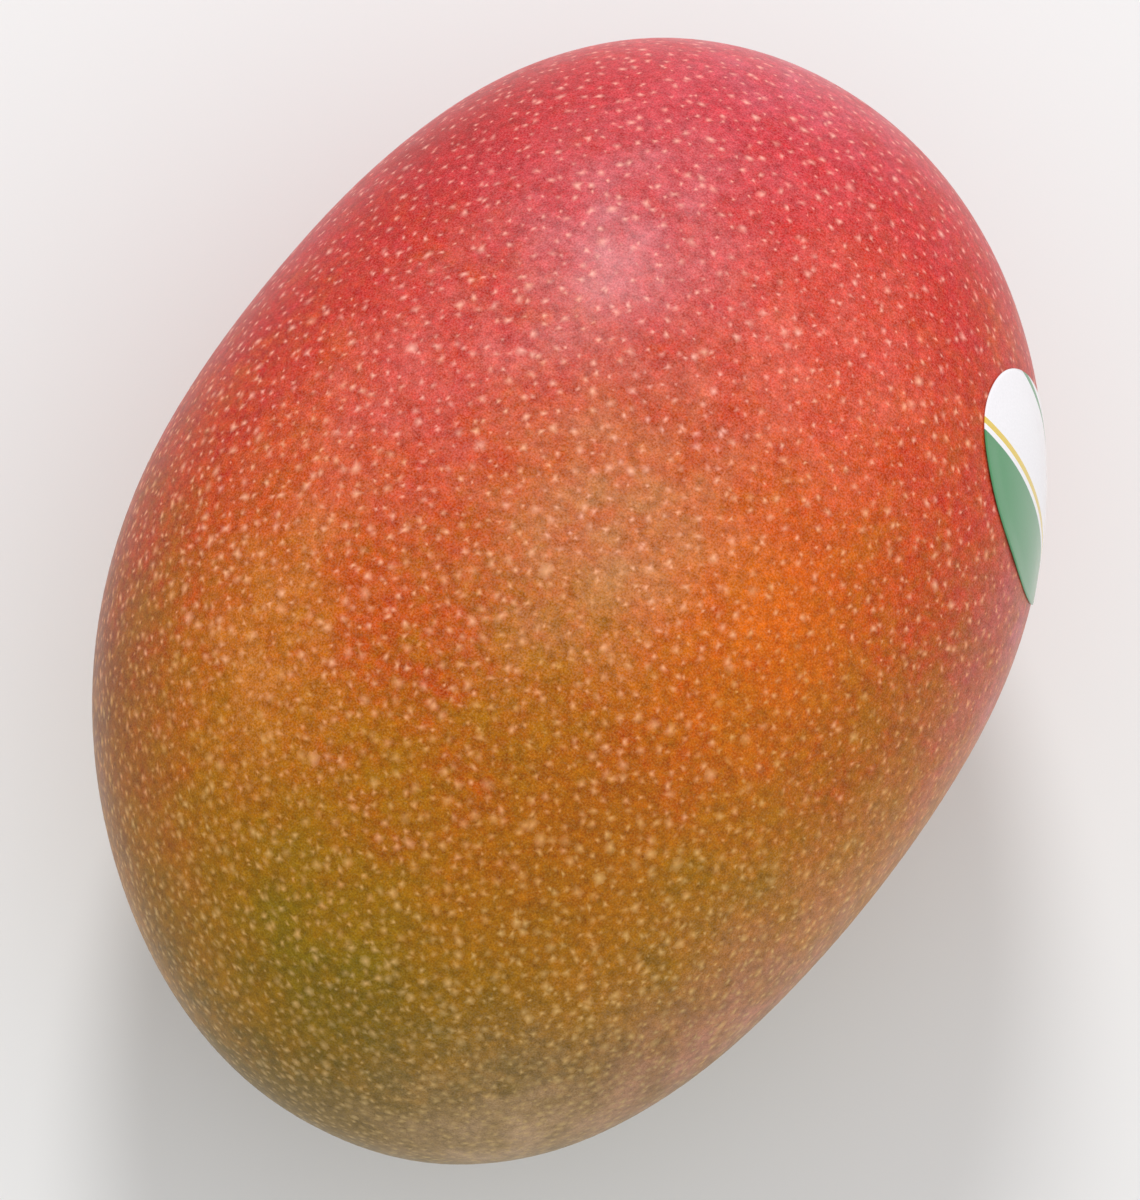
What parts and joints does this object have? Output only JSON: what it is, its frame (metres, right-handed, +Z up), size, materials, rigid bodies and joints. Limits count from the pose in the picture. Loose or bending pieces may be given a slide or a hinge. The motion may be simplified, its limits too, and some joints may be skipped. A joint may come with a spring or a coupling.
{
  "type": "mango",
  "caption": "Whole ripe mango lying on its cheek: slightly oblique oval fruit with a shallow stem cavity, dry stem stub and small oval label printed with plain bands.",
  "frame": {"origin": "centre of the underside of the bounding box, on the surface that the fruit rests on", "axes": "+Y runs along the fruit towards its stem end, X across it from flank to flank, +Z up through its cheeks"},
  "size_m": [0.093, 0.1262, 0.0819],
  "materials": {
    "skin": "satin waxy fruit skin, crimson at the stem end to olive at the apex, with fine pale lenticels",
    "stem_wood": "dry, dark brown, rough and matte",
    "label_paper": "smooth coated paper with plain printed bands"
  },
  "bodies": {
    "root": {"fruit": "skin", "stem_stub": "stem_wood", "label": "label_paper"}
  },
  "joints": []
}
